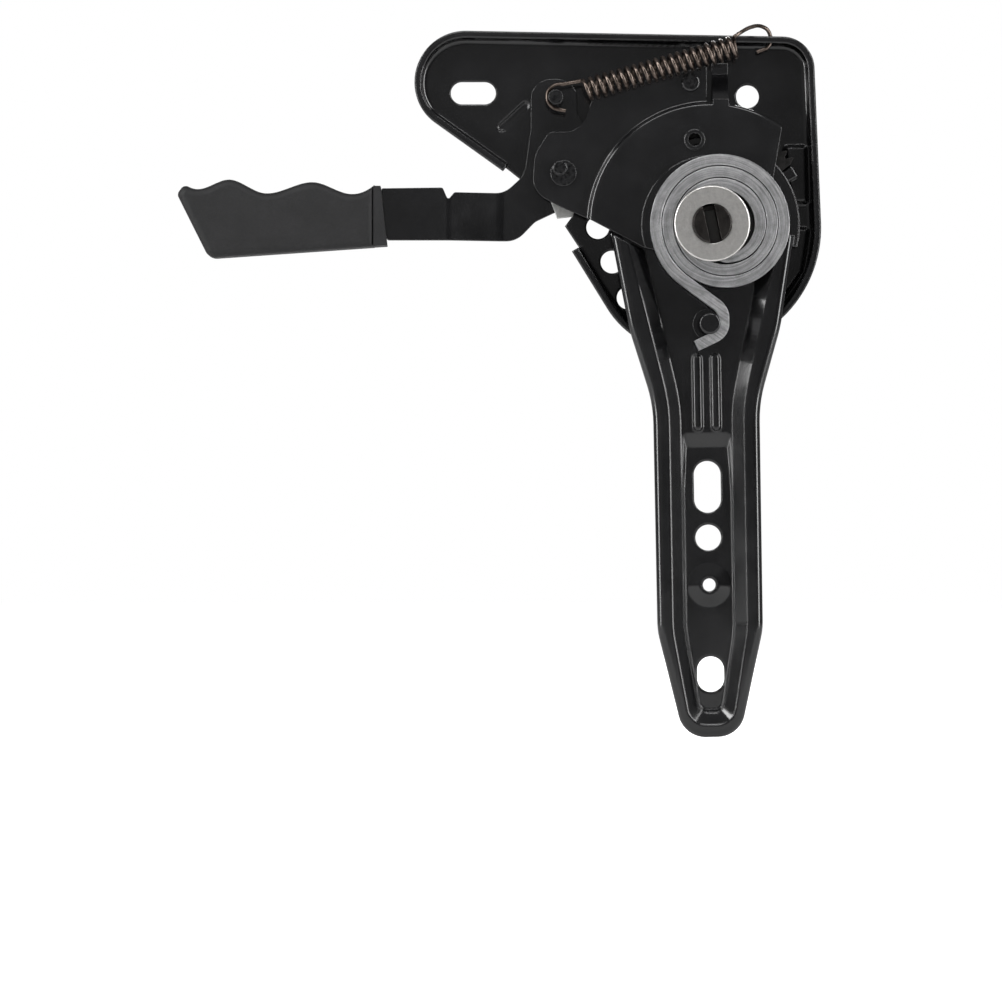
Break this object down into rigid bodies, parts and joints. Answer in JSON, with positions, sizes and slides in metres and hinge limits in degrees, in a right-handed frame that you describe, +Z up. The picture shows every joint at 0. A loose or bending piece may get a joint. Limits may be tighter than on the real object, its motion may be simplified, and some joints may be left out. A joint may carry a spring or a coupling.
{
  "type": "chair recline adjuster",
  "caption": "Pressed bracket with a swinging back arm, a toothed lock worked by a hand lever, a clock spring and an extension spring.",
  "frame": {"origin": "on the main pin's axis, in the plane of the bracket's outer, bolted face", "axes": "+X to the right and +Z up as seen from the working side, which faces -Y; +Y points out of the bolted face. In a chair the unit is turned half a turn about Y, so that the arm points up"},
  "size_m": [0.238, 0.0281, 0.2644],
  "materials": {
    "black_coated_steel": "glossy black dip coat",
    "sleeve_steel": "plain",
    "pin_steel": "dark oiled",
    "washer_steel": "satin",
    "spring_steel": "rolled, fine scratches",
    "spring_wire": "heat tinted, bronze brown",
    "bare_steel": "stamped, bare",
    "grip_rubber": "matte dark grey, moulded"
  },
  "bodies": {
    "bracket": {"base_bracket": "black_coated_steel", "guide_cover": "black_coated_steel", "cover_rivet": "black_coated_steel", "cover_spacer": "sleeve_steel", "lever_pivot_rivet": "black_coated_steel", "lever_spacer": "sleeve_steel", "pivot_pin": "pin_steel", "inner_thrust_washer": "sleeve_steel", "outer_thrust_washer": "sleeve_steel", "front_washer": "washer_steel", "clock_spring": "spring_steel", "return_spring": "spring_wire"},
    "arm": {"recline_arm": "black_coated_steel", "toothed_sector": "bare_steel", "sector_rivets": "bare_steel", "arm_spring_post": "black_coated_steel"},
    "lever": {"release_lever": "black_coated_steel", "lever_spring_post": "black_coated_steel", "handle_grip": "grip_rubber", "release_pawl": "bare_steel", "pawl_rivet": "bare_steel"}
  },
  "joints": [
    {"name": "recline", "type": "hinge", "parent": "bracket", "child": "arm", "pos_m": [0, 0, 0], "axis": [0, -1, 0], "range_deg": [0, 30], "deforming": ["clock_spring"]},
    {"name": "release", "type": "hinge", "parent": "bracket", "child": "lever", "pos_m": [-0.0546, 0, 0.0193], "axis": [0, -1, 0], "range_deg": [0, 10], "stiffness_Nm_per_rad": 1.5, "springref_deg": -20.05, "deforming": ["return_spring"]}
  ]
}
